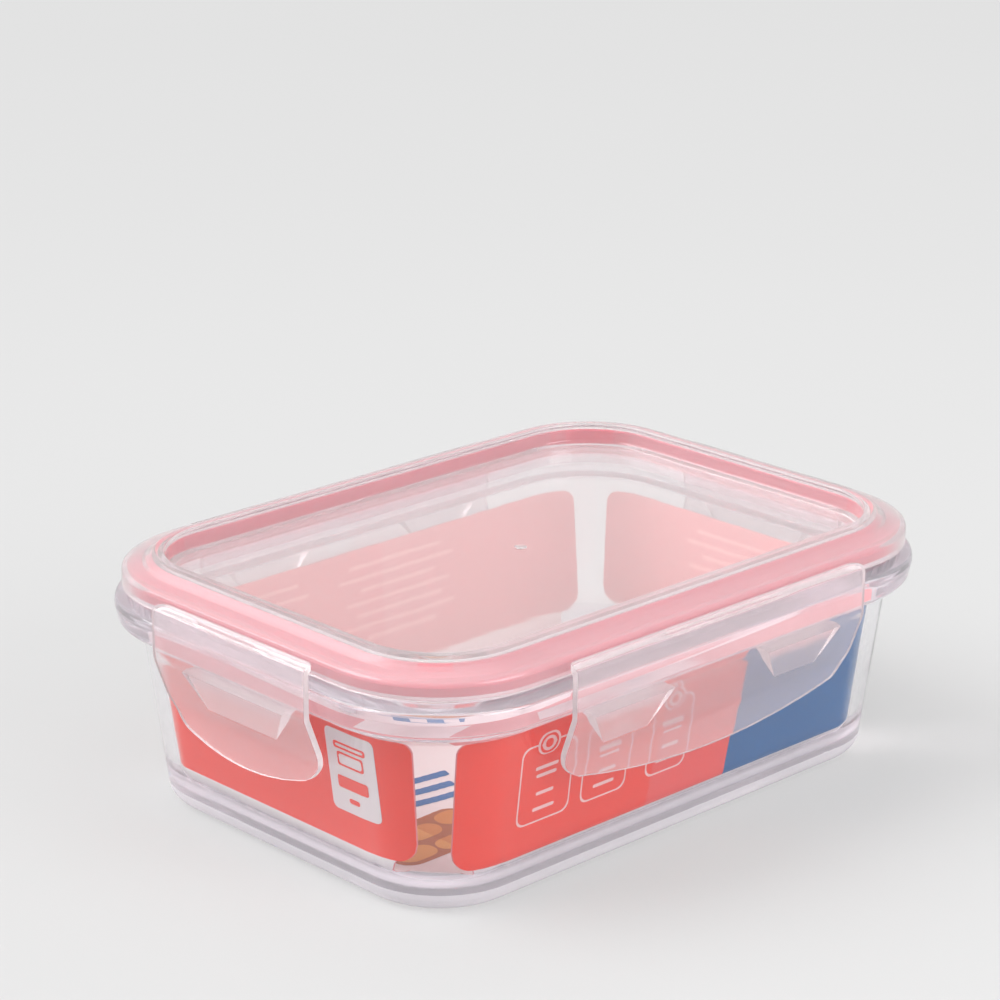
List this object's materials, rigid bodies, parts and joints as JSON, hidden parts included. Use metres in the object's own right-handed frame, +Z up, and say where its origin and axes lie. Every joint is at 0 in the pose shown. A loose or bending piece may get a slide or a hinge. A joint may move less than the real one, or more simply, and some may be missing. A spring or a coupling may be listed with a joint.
{
  "type": "snap lid food container",
  "caption": "Rectangular glass food container with a sunk-window lid, silicone seal ring, hinged snap latches on all sides and a printed card liner inside.",
  "frame": {"origin": "middle of the base, on the surface that the container stands on", "axes": "+X along the long side, +Y along the short side, +Z up through the lid"},
  "size_m": [0.1864, 0.138, 0.0636],
  "materials": {
    "clear_glass": "clear pressed glass, fire-polished",
    "printed_card": "coated card, offset printed in coral red and blue",
    "frosted_pp": "translucent injection-moulded polypropylene",
    "coral_silicone": "moulded silicone, satin"
  },
  "bodies": {
    "tub": {"glass_tub": "clear_glass", "card_insert": "printed_card"},
    "lid": {"lid_panel": "frosted_pp", "seal_ring": "coral_silicone"},
    "left_latch": {"latch_left": "frosted_pp"},
    "right_latch": {"latch_right": "frosted_pp"},
    "front_latch": {"latch_front": "frosted_pp"},
    "back_latch": {"latch_back": "frosted_pp"}
  },
  "joints": [
    {"name": "lid_lift", "type": "slide", "parent": "tub", "child": "lid", "axis": [0, 0, 1], "range_m": [0, 0.2]},
    {"name": "left_latch_hinge", "type": "hinge", "parent": "lid", "child": "left_latch", "pos_m": [-0.0892, 0, 0.0593], "axis": [0, 1, 0], "range_deg": [0, 120]},
    {"name": "right_latch_hinge", "type": "hinge", "parent": "lid", "child": "right_latch", "pos_m": [0.0892, 0, 0.0593], "axis": [0, -1, 0], "range_deg": [0, 120]},
    {"name": "front_latch_hinge", "type": "hinge", "parent": "lid", "child": "front_latch", "pos_m": [0, -0.065, 0.0593], "axis": [-1, 0, 0], "range_deg": [0, 120]},
    {"name": "back_latch_hinge", "type": "hinge", "parent": "lid", "child": "back_latch", "pos_m": [0, 0.065, 0.0593], "axis": [1, 0, 0], "range_deg": [0, 120]}
  ]
}
